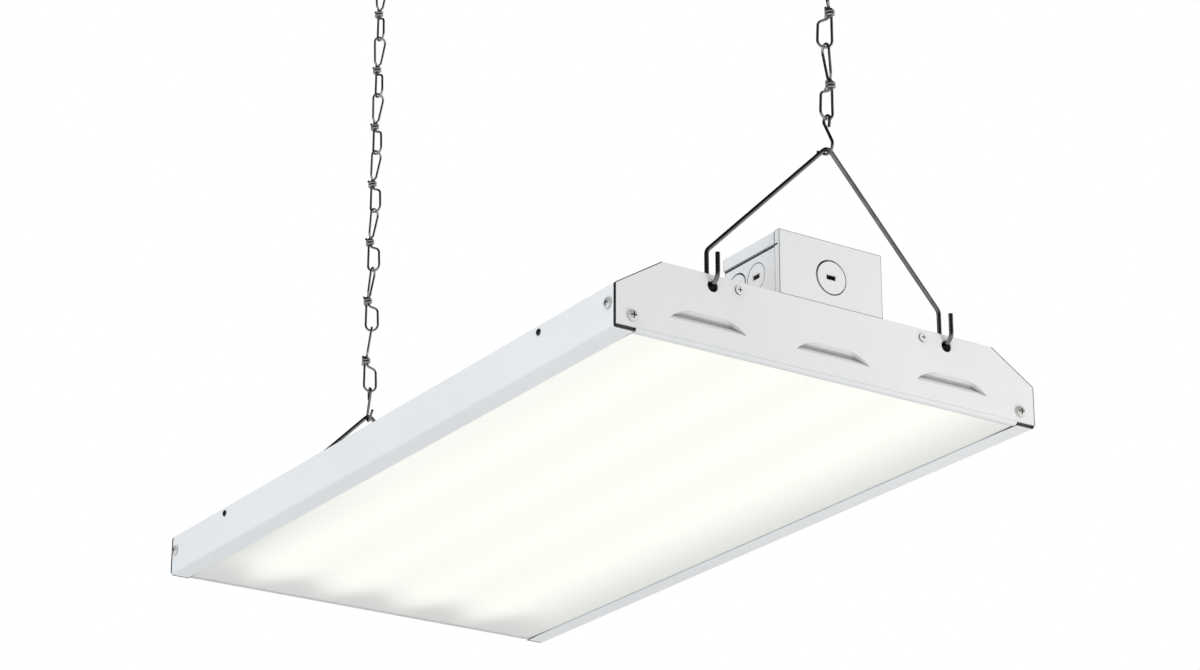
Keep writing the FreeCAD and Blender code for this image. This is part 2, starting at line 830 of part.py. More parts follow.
def knockout_discs():
    discs = [knockout(near_knockout(), X_AXIS, knockout_radius, knockout_spring)]
    for side in SIDES:
        springs = (side * knockout_spring, 0)
        for place, spring in zip(side_knockouts(side), springs):
            discs.append(knockout(place, Y_AXIS * side, side_knockout_radius, spring))
    return Part.makeCompound(discs)


def box_rivets():
    """Rivets that hold the wiring box to the roof."""
    rivets = []
    for place in rivet_places():
        low = place - Z_AXIS * (sheet + rivet_head_rise)
        high = place + Z_AXIS * box_sheet
        shank = rod(low, Z_AXIS, rivet_radius, sheet + box_sheet + 2 * rivet_head_rise)
        heads = [rod(start, Z_AXIS, 2 * rivet_radius, rivet_head_rise) for start in (low, high)]
        rivets.append(join([shank] + heads))
    return Part.makeCompound(rivets)


def box_cover():
    """U-shaped cover that drops over the wiring box."""
    half = box_width / 2
    points = [
        Vec(box_far, -half, box_top - cover_flange),
        Vec(box_far, -half, box_top),
        Vec(box_far, half, box_top),
        Vec(box_far, half, box_top - cover_flange),
    ]
    flange_end = end_x - box_edge_strip - fit_gap
    face = folded_section(points, X_AXIS * -1, sheet, fit_gap)
    cover = face.extrude(Vec(flange_end - box_far, 0, 0))
    tongue_y = half - box_sheet - fit_gap
    tongue_end = end_x - box_sheet - fit_gap
    tongue = block(flange_end, tongue_end, -tongue_y, tongue_y, cover_under, box_top)
    cover = join([cover, tongue])
    radius = cover_screw_radius + fit_gap
    return cover.cut([drill(place, Z_AXIS, radius) for place in cover_screw_places()])


def cover_screws():
    screws = []
    for place in cover_screw_places():
        screws.append(pan_screw(place, Z_AXIS * -1, cover_screw_radius, cover_screw_length))
    return Part.makeCompound(screws)


def hanger():
    """Near V-shaped hanger: hooked tail, upright, sloped leg and apex, then back down."""
    half = [
        Vec(pivot_x + hanger_bend, hook_y, pivot_z + hanger_tail),
        Vec(pivot_x + hanger_bend, hook_y, pivot_z),
        Vec(pivot_x - hanger_bend, hook_y, pivot_z),
        shoulder_corner,
    ]
    other = [Vec(point.x, -point.y, point.z) for point in reversed(half)]
    bends = [hanger_bend, hanger_bend, hanger_shoulder_bend]
    radii = bends + [hanger_apex_bend] + bends[::-1]
    return bent_wire(rounded_edges(half + [apex_corner] + other, radii), hanger_wire / 2)


def on_circle(middle, across, radius, degrees):
    """Point on an upright circle, with the angle measured from the across direction."""
    angle = math.radians(degrees)
    return middle + across * (radius * math.cos(angle)) + Z_AXIS * (radius * math.sin(angle))


def circle_arc(middle, across, radius, first, last):
    """Arc of an upright circle between two angles."""
    between = (first + last) / 2
    points = [on_circle(middle, across, radius, angle) for angle in (first, between, last)]
    return Part.Arc(*points).toShape()


def upright_plane(degrees):
    """Level direction along which an upright wire shape is wide."""
    angle = math.radians(degrees)
    return Vec(math.cos(angle), math.sin(angle), 0)


def s_hook(x, turn):
    """S-hook: a closed eye in the lowest loop of the chain, and an open hook under the hanger."""
    across = upright_plane(turn)
    upper = Vec(x, 0, s_hook_top - s_hook_eye)
    lower = Vec(x, 0, s_hook_low + s_hook_bend)
    lean = math.degrees(math.asin((s_hook_eye + s_hook_bend) / (upper.z - lower.z)))
    eye_start = on_circle(upper, across, s_hook_eye, -s_hook_eye_close)
    inward = on_circle(ORIGIN, across, 1, -s_hook_eye_close - 90)
    eye_end = on_circle(upper, across, s_hook_eye, 180 + lean)
    hook_start = on_circle(lower, across, s_hook_bend, lean)
    hook_end = on_circle(lower, across, s_hook_bend, s_hook_open)
    heading = on_circle(ORIGIN, across, 1, s_hook_open - 90)
    edges = []
    line_edge(edges, eye_start + inward * s_hook_eye_tail, eye_start)
    edges.append(circle_arc(upper, across, s_hook_eye, -s_hook_eye_close, 180 + lean))
    line_edge(edges, eye_end, hook_start)
    edges.append(circle_arc(lower, across, s_hook_bend, lean, s_hook_open))
    line_edge(edges, hook_end, hook_end + heading * s_hook_tip)
    return bent_wire(edges, s_hook_wire / 2)


def loop_across(number, hook_angle):
    """Direction across a loop, counted from the ceiling: quarter turns, eased to meet the S-hook."""
    ease = (hook_angle + 90 - 90 * (loop_count % 2)) % 180
    return upright_plane(90 * (number % 2) + ease * ((number - 1) / (loop_count - 1))**2)


def bow_corner(width, low, crown):
    """Half width at a loop's crown, for a leg that touches the round bow from a lower point."""
    rise = crown - loop_radius - low
    flare = math.asin(loop_radius / math.hypot(width, rise)) - math.atan(width / rise)
    return width + (crown - low) * math.tan(flare)


def upper_loop(knot, across, bow):
    """Loop above a knot, from the knot's middle to the top of its bow: two legs spread from the knot."""
    outward = (bow - knot).normalize()
    crown = bow.distanceToPoint(knot)
    neck = upper_neck_width / 2
    neck_end = knot_end + upper_neck_rise
    corner = bow_corner(neck, neck_end, crown)
    half = [(knot_neck, -knot_half), (knot_neck, knot_end), (neck, neck_end), (corner, crown)]
    outline = half + [(-u, v) for u, v in reversed(half)]
    points = [knot + across * u + outward * v for u, v in outline]
    radii = [knot_bend, upper_neck_bend, loop_radius - bow_flat / 2]
    return bent_wire(rounded_edges(points, radii + radii[::-1]), link_wire / 2)


def lower_loop(knot, across, side, crown):
    """Loop below a knot: one leg runs straight down from the knot, the other rounds a shoulder."""
    shoulder = lower_shoulder_width / 2
    shoulder_end = knot_end + lower_shoulder_rise
    corner = bow_corner(shoulder, shoulder_end, crown)
    neck = loop_radius - 2 * knot_neck
    outline = [
        (loop_radius, -knot_half), (loop_radius, crown), (-corner, crown),
        (-shoulder, shoulder_end), (neck, knot_end), (neck, -knot_half),
    ]
    points = [knot + across * (side * (u - knot_offset)) - Z_AXIS * v for u, v in outline]
    radii = [loop_radius, loop_radius, lower_shoulder_bend, knot_bend]
    return bent_wire(rounded_edges(points, radii), link_wire / 2)


def knot_path(knot, across):
    """Path wound round the knot in quarter turns, with short ends that stand off."""
    beside = Z_AXIS.cross(across)
    corners = []
    for index in range(knot_corners):
        quarter = math.radians(45 + 90 * index)
        level = (index - (knot_corners - 1) / 2) * knot_wrap_pitch / 4
        out = across * math.cos(quarter) + beside * math.sin(quarter)
        corners.append(knot + out * (math.sqrt(2) * knot_wrap_radius) + Z_AXIS * level)
    first = corners[1] - corners[0]
    second = corners[2] - corners[1]
    bend = first.Length / 2 / math.tan(first.getAngle(second) / 2)
    return rounded_edges(corners, [bend] * (knot_corners - 2))


def winding_gap(edges, wire, radius):
    """Least gap of a wound wire to itself, between points more than half a turn apart along it."""
    step = wire / 8
    points = Part.Wire(edges).discretize(Distance=step)
    skip = int(math.pi * radius / step)
    pairs = [(point, other) for index, point in enumerate(points) for other in points[index + skip:]]
    return min(point.distanceToPoint(other) for point, other in pairs) - wire


def chain_link(number, x, hook_angle, side):
    """Knotted link of a chain, counted from the ceiling, with its knot off to one side."""
    upper = 2 * number - 1
    above = loop_across(upper, hook_angle)
    below = loop_across(upper + 1, hook_angle)
    middle = Vec(x, 0, top_loop_z - (upper - 0.5) * loop_pitch)
    reach = loop_pitch / 2 + loop_reach
    knot = middle + below * (side * knot_offset) - Z_AXIS * knot_drop
    higher = upper_loop(knot, above, middle + Z_AXIS * reach)
    lower = lower_loop(knot, below, side, reach - knot_drop)
    wraps = bent_wire(knot_path(knot, above), link_wire / 2)
    return join([higher, lower, wraps])


def ceiling_hook():
    """Near ceiling hook: shank with a collar, neck and round bowl."""
    bowl = Vec(pivot_x, 0, ceiling_hook_low + ceiling_hook_radius)
    reach = ceiling_hook_radius + ceiling_hook_neck
    neck_rise = math.sqrt(reach ** 2 - ceiling_hook_neck ** 2)
    neck = bowl + Vec(ceiling_hook_neck, 0, neck_rise)
    bowl_start = math.degrees(math.atan2(neck_rise, ceiling_hook_neck))
    shank_end = neck - Vec(ceiling_hook_neck, 0, 0)
    edges = []
    line_edge(edges, Vec(pivot_x, 0, ceiling_z - fit_gap), shank_end)
    edges.append(circle_arc(neck, X_AXIS, ceiling_hook_neck, 180, 180 + bowl_start))
    edges.append(circle_arc(bowl, X_AXIS, ceiling_hook_radius, bowl_start, ceiling_hook_tip))
    wire = bent_wire(edges, ceiling_hook_wire / 2)
    under = ceiling_z - ceiling_plate_thickness
    collar_low = Vec(pivot_x, 0, under - ceiling_collar_height)
    return join([wire, rod(collar_low, Z_AXIS, ceiling_collar_radius, ceiling_collar_height)])


def ceiling_plate():
    """Near ceiling plate with two countersunk screw holes and a hole for the hook."""
    across = ceiling_plate_width / 2
    along = ceiling_plate_length / 2
    low = ceiling_z - ceiling_plate_thickness
    corners = [
        Vec(pivot_x - across, -along, low),
        Vec(pivot_x - across, along, low),
        Vec(pivot_x + across, along, low),
        Vec(pivot_x + across, -along, low),
    ]
    radii = [ceiling_plate_corner] * len(corners)
    plate = rounded_plate(corners, radii, Vec(0, 0, ceiling_plate_thickness))
    hook_hole = rod(Vec(pivot_x, 0, low), Z_AXIS, ceiling_hook_wire / 2 + fit_gap, ceiling_plate_thickness)
    cutters = [hook_hole]
    for side in SIDES:
        place = Vec(pivot_x, side * ceiling_hole_spacing / 2, low)
        cutters.append(rod(place, Z_AXIS, ceiling_hole_radius, ceiling_plate_thickness))
        wide = ceiling_hole_radius + ceiling_countersink
        cutters.append(Part.makeCone(wide, ceiling_hole_radius, ceiling_countersink, place, Z_AXIS))
    return plate.cut(cutters)


def nodes():
    """Every piece of the light by name."""
    pieces = {
        "housing": housing(),
        "lens": lens(),
        "gear_tray": gear_tray(),
        "driver_1": driver(-1),
        "driver_2": driver(1),
        "driver_screws": driver_screws(),
        "board_screws": board_screws(),
        "board_plugs": board_plugs(),
        "board_leads": board_leads(),
        "tray_grommets": tray_grommets(),
        "tray_screws": tray_screws(),
        "corner_screws": corner_screws(),
        "upper_screws": upper_screws(),
        "side_screws": side_screws(),
        "wiring_box": wiring_box(),
        "knockout_discs": knockout_discs(),
        "box_rivets": box_rivets(),
        "box_cover": box_cover(),
        "cover_screws": cover_screws(),
        "wire_bushing": wire_bushing(),
        "line_leads": line_leads(),
        "neutral_leads": neutral_leads(),
        "ground_lead": ground_lead(),
        "ground_screw": ground_screw(),
        "splice_connectors": splice_connectors(),
    }
    for number, middle in enumerate(board_middles(), 1):
        pieces["led_board_%d" % number] = led_board(middle)
        pieces["led_chips_%d" % number] = led_chips(middle)
    paired = {
        "end_plate": end_plate(),
        "hanger": hanger(),
        "ceiling_hook": ceiling_hook(),
        "ceiling_plate": ceiling_plate(),
    }
    for name, shape in paired.items():
        near, far = both_ends(shape)
        pieces["near_" + name] = near
        pieces["far_" + name] = far
    for end, side, hook_angle in (("near_", 1, near_hook_angle), ("far_", -1, far_hook_angle)):
        x = side * pivot_x
        links = [chain_link(number, x, hook_angle, side) for number in range(1, link_count + 1)]
        pieces[end + "top_link"] = links[0]
        pieces[end + "chain"] = Part.makeCompound(links[1:])
        pieces[end + "s_hook"] = s_hook(x, hook_angle)
    return pieces


os.makedirs("parts", exist_ok=True)
for name, shape in nodes().items():
    shape.translate(Vec(0, 0, -ceiling_z))
    shape.exportStep("parts/%s.step" % name)
print("light underside at %.3f mm" % -ceiling_z)
print("sway axis at x %.3f, z %.3f mm" % (pivot_x, ceiling_hook_low - ceiling_z))
print("swing axis at z %.3f mm" % (swing_z - ceiling_z))
knot_gap = winding_gap(knot_path(ORIGIN, X_AXIS), link_wire, knot_wrap_radius)
print("least gap between the turns of a knot %.3f mm" % knot_gap)
print("hanger pivot at z %.3f mm" % (pivot_z - ceiling_z))
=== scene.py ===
import json
import math

import bpy
from mathutils import Matrix, Vector


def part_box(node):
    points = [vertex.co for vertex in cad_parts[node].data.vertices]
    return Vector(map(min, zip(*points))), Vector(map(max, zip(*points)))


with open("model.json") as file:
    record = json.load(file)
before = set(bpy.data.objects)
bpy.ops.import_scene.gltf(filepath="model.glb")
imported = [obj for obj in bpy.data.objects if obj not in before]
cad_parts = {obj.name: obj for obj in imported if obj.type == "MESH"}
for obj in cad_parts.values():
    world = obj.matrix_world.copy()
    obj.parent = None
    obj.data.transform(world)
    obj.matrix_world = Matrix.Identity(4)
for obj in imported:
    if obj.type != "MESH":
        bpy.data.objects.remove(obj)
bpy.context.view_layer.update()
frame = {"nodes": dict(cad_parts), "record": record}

# Linear LED high bay light on two chains, in metres, with the ceiling at Z = 0 and the wiring box at +X.

body_low, body_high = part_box("housing")
plate_low, plate_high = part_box("near_end_plate")
cover_low, cover_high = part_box("box_cover")

# Camera, worked out from the photograph's straight edges; heights are above the light's underside
PHOTO_WIDTH_PX = 1200
FOCAL_PX = 3224
SENSOR_MM = 36.0
CAMERA_PLACE = Vector((1.81087, -1.16064, -0.72123 + body_low.z))
CAMERA_TARGET = Vector((0.03302, 0.0, 0.11899 + body_low.z))
CAMERA_ROLL = math.radians(0.15)

# Studio: the surround's light, and the one side that glossy rays see bright
FLOOR_Z = -4.0
FLOOR_SIZE = 160.0
AMBIENT = 0.81
GLINT_SIDE = (0.17, 0.73, -0.66)
GLINT_RANGE = (0.25, 0.55)
GLINT_DARK = 0.02

# Sheet metal
SHEET = 0.0008
SIDE_HEIGHT = 0.029
SHOULDER_RUN = 0.034
LIP_WIDTH = 0.015
ROLL_HEIGHT = 0.0022
ROLL_WIDTH = 0.004

# Painted shade lines at each seam, cut edge, rim and the rolled foot: widths, how dark they are, and
# where the lips' lines start along X
SEAM_SHADE_LEVEL = 0.03
LINE_CORE = 0.7
SIDE_SEAM_SHADE = 0.0013
LIP_SEAM_SHADE = 0.0009
LIP_LINE = 0.0006
CUT_EDGE_RUN = (0.262, 0.29)
CUT_EDGE_FAINT = 0.3
RIM_RUN = (0.285, 0.295)
PLATE_LINE = 0.0007
ROLL_LINE = 0.0005
ROLL_LINE_SHADE = 0.16
ROLL_SHADE = 0.04
ROLL_EDGE_SHADE = 0.25
BOX_LINE = 0.001
COVER_LINE = 0.0008
FLANGE_SHADOW = 0.0014

# Parts of a normal, from which a face counts as facing down, straight along an axis or sideways
FACING_DOWN = (-0.8, -0.9)
FACING_STRAIGHT = (0.85, 0.95)
FACING_SIDEWAYS = (0.3, 0.4)

# Lens: the glow of the LED rows, its fading at the edges, and the shadow of the plate's rolled edge
GLOW_PITCH = 0.0627
GLOW_SHIFT = -0.0095
GLOW_TIP = 0.018
GLOW_ROW_LOW = 0.86
FAR_FADE = (-0.288, -0.215)
RIGHT_FADE = (0.150, 0.085)
RIGHT_LOW = 0.22
LEFT_FADE = (-0.165, -0.110)
LEFT_RUN = (-0.21, 0.0)
LEFT_LOW = (0.03, 0.85)
ROLL_EDGE = 0.2967
ROLL_SHADOW = 0.0012
ROLL_SHADOW_LEVEL = 0.7

# Surfaces: the range that noise mostly keeps to, the height of fine relief, and how dark the painted
# shade in recesses gets
NOISE_LOW, NOISE_HIGH = 0.3, 0.7
RELIEF = 0.0001
RECESS_SHADE_LEVEL = 0.02


def add(tree, kind, **inputs):
    """New shader node. Each input is a value, or another node's output to link."""
    node = tree.nodes.new("ShaderNode" + kind)
    for name, value in inputs.items():
        feed(tree, node.inputs[name.replace("_", " ")], value)
    return node


def feed(tree, socket, value):
    """Set a socket's own value, or link it to another node's output."""
    if isinstance(value, bpy.types.NodeSocket):
        tree.links.new(value, socket)
    else:
        socket.default_value = value


def new_material(name, **sockets):
    """Material with a Principled shader; sockets are values that are the same all over."""
    material = bpy.data.materials.new(name)
    material.use_nodes = True
    tree = material.node_tree
    shader = tree.nodes["Principled BSDF"]
    for socket, value in sockets.items():
        shader.inputs[socket.replace("_", " ")].default_value = value
    place = add(tree, "TexCoord").outputs["Object"]
    return material, tree, shader, place


def noise(tree, place, scale, detail=3.0):
    return add(tree, "TexNoise", Vector=place, Scale=scale, Detail=detail).outputs["Fac"]


def ramp(tree, factor, *stops):
    """Colour ramp through (position, colour) stops."""
    node = add(tree, "ValToRGB", Fac=factor)
    elements = node.color_ramp.elements
    while len(elements) < len(stops):
        elements.new(0.5)
    for element, (position, colour) in zip(elements, stops):
        element.position = position
        element.color = (*colour, 1.0)
    return node.outputs["Color"]


def spread(tree, value, low, high, to_low, to_high, smooth=False):
    """Map a range of a value to another range."""
    node = add(tree, "MapRange", Value=value)
    node.interpolation_type = "SMOOTHSTEP" if smooth else "LINEAR"
    limits = (low, high, to_low, to_high)
    for name, limit in zip(("From Min", "From Max", "To Min", "To Max"), limits):
        feed(tree, node.inputs[name], limit)
    return node.outputs["Result"]


def mask(tree, value, none, full):
    """0 up to one limit of a value and 1 from the other, with a ramp between them."""
    return spread(tree, value, none, full, 0.0, 1.0)


def mottle(tree, cloud, dark, light):
    """Colours that vary with a noise."""
    return ramp(tree, cloud, (NOISE_LOW, dark), (NOISE_HIGH, light))


def vary(tree, cloud, low, high):
    """Values that vary with a noise."""
    return spread(tree, cloud, NOISE_LOW, NOISE_HIGH, low, high)


def calc(tree, operation, first, *others):
    """Join values one after another, or apply an operation to a single value."""
    for other in others or (0.0,):
        node = add(tree, "Math")
        node.operation = operation
        feed(tree, node.inputs[0], first)
        feed(tree, node.inputs[1], other)
        first = node.outputs["Value"]
    return first


def vector_node(tree, operation, first, second):
    node = add(tree, "VectorMath")
    node.operation = operation
    feed(tree, node.inputs[0], first)
    feed(tree, node.inputs[1], second)
    return node


def dot(tree, first, second):
    return vector_node(tree, "DOT_PRODUCT", first, second).outputs["Value"]


def split(tree, vector):
    """X, Y and Z of a vector."""
    axes = add(tree, "SeparateXYZ", Vector=vector).outputs
    return axes["X"], axes["Y"], axes["Z"]


def facing(tree):
    """X, Y and Z of the surface's own normal."""
    return split(tree, add(tree, "NewGeometry").outputs["True Normal"])


def bump(tree, shader, height, strength, normal=None):
    """Fine relief on a shader's normal."""
    node = add(tree, "Bump", Height=height, Strength=strength, Distance=RELIEF)
    if normal is not None:
        feed(tree, node.inputs["Normal"], normal)
    feed(tree, shader.inputs["Normal"], node.outputs["Normal"])


def tint(tree, colour, factor, floor):
    """Multiply a colour by a grey factor that is lifted to a floor."""
    level = spread(tree, factor, 0.0, 1.0, floor, 1.0)
    return vector_node(tree, "MULTIPLY", colour, level).outputs["Vector"]


def crease_shade(tree, reach):
    """Openness of a point to its surroundings, low in seam lines and hollows; colour multiplied by it
    gets painted shade there.
    """
    return add(tree, "AmbientOcclusion", Distance=reach).outputs["AO"]


def grey(level):
    return (level, level, level)


def edge_shade_lines(tree, reach):
    """Mask of thin lines along sharp edges, where painted shade goes."""
    soft = add(tree, "Bevel", Radius=reach)
    soft.samples = 8
    flat = add(tree, "NewGeometry").outputs["True Normal"]
    return mask(tree, dot(tree, soft.outputs["Normal"], flat), 0.99, 0.9)


def housing_seam_shade(tree, place):
    """Painted shadow in the seam at each end of the housing's sheet, and painted shade along the cut
    edges and rims of its lips near the ends.
    """
    x, y, z = split(tree, place)
    x = calc(tree, "ABSOLUTE", x)
    y = calc(tree, "ABSOLUTE", y)
    _, across, upward = facing(tree)
    end = body_high.x - SHEET
    start = spread(tree, upward, *reversed(FACING_DOWN), end - LIP_SEAM_SHADE, end - SIDE_SEAM_SHADE)
    ends = mask(tree, x, start, calc(tree, "ADD", start, LIP_SEAM_SHADE * (1 - LINE_CORE)))
    upright = mask(tree, calc(tree, "ABSOLUTE", across), *FACING_STRAIGHT)
    lip = mask(tree, z, body_low.z + SHEET * 1.2, body_low.z + SHEET)
    near_end = spread(tree, x, *CUT_EDGE_RUN, CUT_EDGE_FAINT, 1.0)
    cut_edge = calc(tree, "MULTIPLY", upright, lip, near_end)
    lip_inside = body_high.y - LIP_WIDTH
    rim = mask(tree, y, lip_inside + LIP_LINE, lip_inside + LIP_LINE * LINE_CORE)
    rim_end = calc(tree, "MULTIPLY", rim, lip, mask(tree, x, *RIM_RUN))
    return calc(tree, "MAXIMUM", ends, cut_edge, rim_end)


def plate_seam_shade(tree, place):
    """Painted shade lines along the sides and shoulders of an end plate and along its cut edges, and
    painted shade on its rolled foot.
    """
    x, y, z = split(tree, place)
    beyond_side = calc(tree, "SUBTRACT", calc(tree, "ABSOLUTE", y), plate_high.y)
    beyond_knee = calc(tree, "SUBTRACT", z, plate_low.z + SIDE_HEIGHT)
    rise = plate_high.z - plate_low.z - SIDE_HEIGHT
    slope = math.hypot(rise, SHOULDER_RUN)
    outward = calc(tree, "MULTIPLY", beyond_side, rise / slope)
    upward = calc(tree, "MULTIPLY", beyond_knee, SHOULDER_RUN / slope)
    beyond = calc(tree, "MAXIMUM", beyond_side, calc(tree, "ADD", outward, upward))
    outline = mask(tree, beyond, -PLATE_LINE, -PLATE_LINE * LINE_CORE)
    _, across, _ = facing(tree)
    sideways = mask(tree, calc(tree, "ABSOLUTE", across), *FACING_SIDEWAYS)
    cut_edge = calc(tree, "MULTIPLY", sideways, mask(tree, beyond, -2 * PLATE_LINE, -PLATE_LINE))
    roll_top = plate_low.z + ROLL_HEIGHT
    off_roll = calc(tree, "ABSOLUTE", calc(tree, "SUBTRACT", z, roll_top))
    roll_line = spread(tree, off_roll, ROLL_LINE * 0.5, ROLL_LINE, ROLL_LINE_SHADE, 0.0)
    roll = spread(tree, z, plate_low.z + ROLL_HEIGHT * 0.6, roll_top, ROLL_SHADE, 0.0)
    inner = plate_high.x - ROLL_WIDTH + ROLL_LINE
    far_out = calc(tree, "ABSOLUTE", x)
    roll_edge = spread(tree, far_out, inner, inner + ROLL_LINE, ROLL_EDGE_SHADE, 0.0)
    return calc(tree, "MAXIMUM", cut_edge, roll_line, roll, roll_edge, outline)


def box_seam_shade(tree, place):
    """Painted shade lines along the box's edges, and a painted shadow under the cover's flange."""
    x, _, z = split(tree, place)
    off_shadow = calc(tree, "ABSOLUTE", calc(tree, "SUBTRACT", z, cover_low.z - FLANGE_SHADOW / 2))
    under = mask(tree, off_shadow, FLANGE_SHADOW * 0.5, FLANGE_SHADOW * 0.4)
    behind = mask(tree, x, cover_high.x, cover_high.x - SHEET)
    shadow = calc(tree, "MULTIPLY", under, behind)
    return calc(tree, "MAXIMUM", shadow, edge_shade_lines(tree, BOX_LINE))


def cover_seam_shade(tree, _):
    """Painted shade lines along the cover's edges and on its cut edges at the end."""
    along, _, _ = facing(tree)
    return calc(tree, "MAXIMUM", edge_shade_lines(tree, COVER_LINE), mask(tree, along, *FACING_STRAIGHT))


def powder_coat(name, light, dark, rough_low, rough_high, shade_lines=None):
    """White powder coat with a fine orange peel, softened edges, and painted shade in hollows and along
    seam lines.
    """
    material, tree, shader, place = new_material(name, IOR=1.5)
    cloud = noise(tree, place, scale=9.0, detail=4.0)
    speck = noise(tree, place, scale=380.0)
    peel = noise(tree, place, scale=760.0)
    # Painted shade in seam lines and hollows, from ambient occlusion.
    colour = tint(tree, mottle(tree, cloud, dark, light), crease_shade(tree, reach=0.0015), floor=0.92)
    # Painted shade lines along seams, edges and the rolled foot.
    if shade_lines:
        clear_of_shade_lines = calc(tree, "SUBTRACT", 1.0, shade_lines(tree, place))
        colour = tint(tree, colour, clear_of_shade_lines, SEAM_SHADE_LEVEL)
    feed(tree, shader.inputs["Base Color"], colour)
    feed(tree, shader.inputs["Roughness"], vary(tree, speck, rough_low, rough_high))
    edge = add(tree, "Bevel", Radius=0.0006).outputs["Normal"]
    bump(tree, shader, peel, 0.12, edge)
    return material


def painted_screw():
    """White painted screw head, with painted shade in the hollow of its drive."""
    material, tree, shader, place = new_material("painted_screw", IOR=1.5)
    cloud = noise(tree, place, scale=300.0)
    # Painted shade in the hollow of the head, from ambient occlusion.
    recess_shade = mask(tree, crease_shade(tree, reach=0.003), 0.65, 0.98)
    colour = mottle(tree, cloud, grey(0.78), grey(0.84))
    feed(tree, shader.inputs["Base Color"], tint(tree, colour, recess_shade, RECESS_SHADE_LEVEL))
    feed(tree, shader.inputs["Roughness"], vary(tree, cloud, 0.35, 0.45))
    bump(tree, shader, cloud, 0.1)
    return material


def frosted_lens():
    """Frosted panel lit from behind by four rows, fading at the far end and at both long edges."""
    material, tree, shader, place = new_material("frosted_lens", Roughness=0.5, IOR=1.49)
    along, across, _ = split(tree, place)
    off_row = calc(tree, "SUBTRACT", across, GLOW_SHIFT)
    turn = calc(tree, "MULTIPLY", off_row, 2 * math.pi / GLOW_PITCH)
    row = mask(tree, calc(tree, "COSINE", turn), 1.0, -1.0)
    reach = calc(tree, "ADD", along, calc(tree, "MULTIPLY", row, GLOW_TIP))
    far_fade = spread(tree, reach, *FAR_FADE, 0.0, 1.0, smooth=True)
    right_fade = spread(tree, across, *RIGHT_FADE, RIGHT_LOW, 1.0, smooth=True)
    left_low = spread(tree, along, *LEFT_RUN, *LEFT_LOW)
    left_fade = spread(tree, across, *LEFT_FADE, left_low, 1.0, smooth=True)
    row_glow = spread(tree, row, 0.0, 1.0, GLOW_ROW_LOW, 1.0)
    glow = calc(tree, "MULTIPLY", right_fade, left_fade, far_fade, row_glow)
    dim, mid, bright = (0.32, 0.33, 0.31), (0.54, 0.55, 0.50), (0.66, 0.67, 0.60)
    light = ramp(tree, glow, (0.0, dim), (0.5, mid), (1.0, bright))
    roll_shadow = mask(tree, along, ROLL_EDGE, ROLL_EDGE - ROLL_SHADOW)
    light = tint(tree, light, roll_shadow, ROLL_SHADOW_LEVEL)
    frost = noise(tree, place, scale=900.0)
    feed(tree, shader.inputs["Base Color"], mottle(tree, frost, grey(0.34), grey(0.36)))
    feed(tree, shader.inputs["Emission Color"], light)
    _, _, upward = facing(tree)
    feed(tree, shader.inputs["Emission Strength"], mask(tree, upward, -0.5, -0.6))
    bump(tree, shader, frost, 0.15)
    return material


def drawn_wire(name, dark, light):
    """Steel wire with a drawn finish: dark, with bright glints and faint mottling."""
    material, tree, shader, place = new_material(name, Metallic=1.0)
    cloud = noise(tree, place, scale=160.0, detail=4.0)
    streak = noise(tree, place, scale=1500.0)
    colour = ramp(tree, cloud, (0.35, grey(dark)), (NOISE_HIGH, grey(light)))
    feed(tree, shader.inputs["Base Color"], colour)
    feed(tree, shader.inputs["Roughness"], vary(tree, streak, 0.16, 0.34))
    bump(tree, shader, streak, 0.08)
    return material


def plated(name, dark, light, metallic=1.0):
    """Zinc plate with faint spangle, and painted shade in its recesses."""
    material, tree, shader, place = new_material(name, Metallic=metallic)
    spangle, _, _ = split(tree, add(tree, "TexVoronoi", Vector=place, Scale=520.0).outputs["Color"])
    cloud = noise(tree, place, scale=240.0)
    # Painted shade in recesses, from ambient occlusion.
    recess_shade = mask(tree, crease_shade(tree, reach=0.002), 0.3, 0.8)
    colour = ramp(tree, spangle, (0.0, dark), (1.0, light))
    feed(tree, shader.inputs["Base Color"], tint(tree, colour, recess_shade, RECESS_SHADE_LEVEL))
    feed(tree, shader.inputs["Roughness"], vary(tree, cloud, 0.24, 0.42))
    bump(tree, shader, cloud, 0.08)
    return material


def moulded(name, dark, light, rough, scale=600.0):
    """Moulded plastic or rubber with a fine matt grain."""
    material, tree, shader, place = new_material(name)
    cloud = noise(tree, place, scale=60.0, detail=4.0)
    grain = noise(tree, place, scale)
    feed(tree, shader.inputs["Base Color"], mottle(tree, cloud, dark, light))
    feed(tree, shader.inputs["Roughness"], vary(tree, grain, rough - 0.06, rough + 0.06))
    bump(tree, shader, grain, 0.1)
    return material


WHITE_PAINT = ((0.83, 0.84, 0.85), (0.80, 0.81, 0.82), 0.36, 0.46)

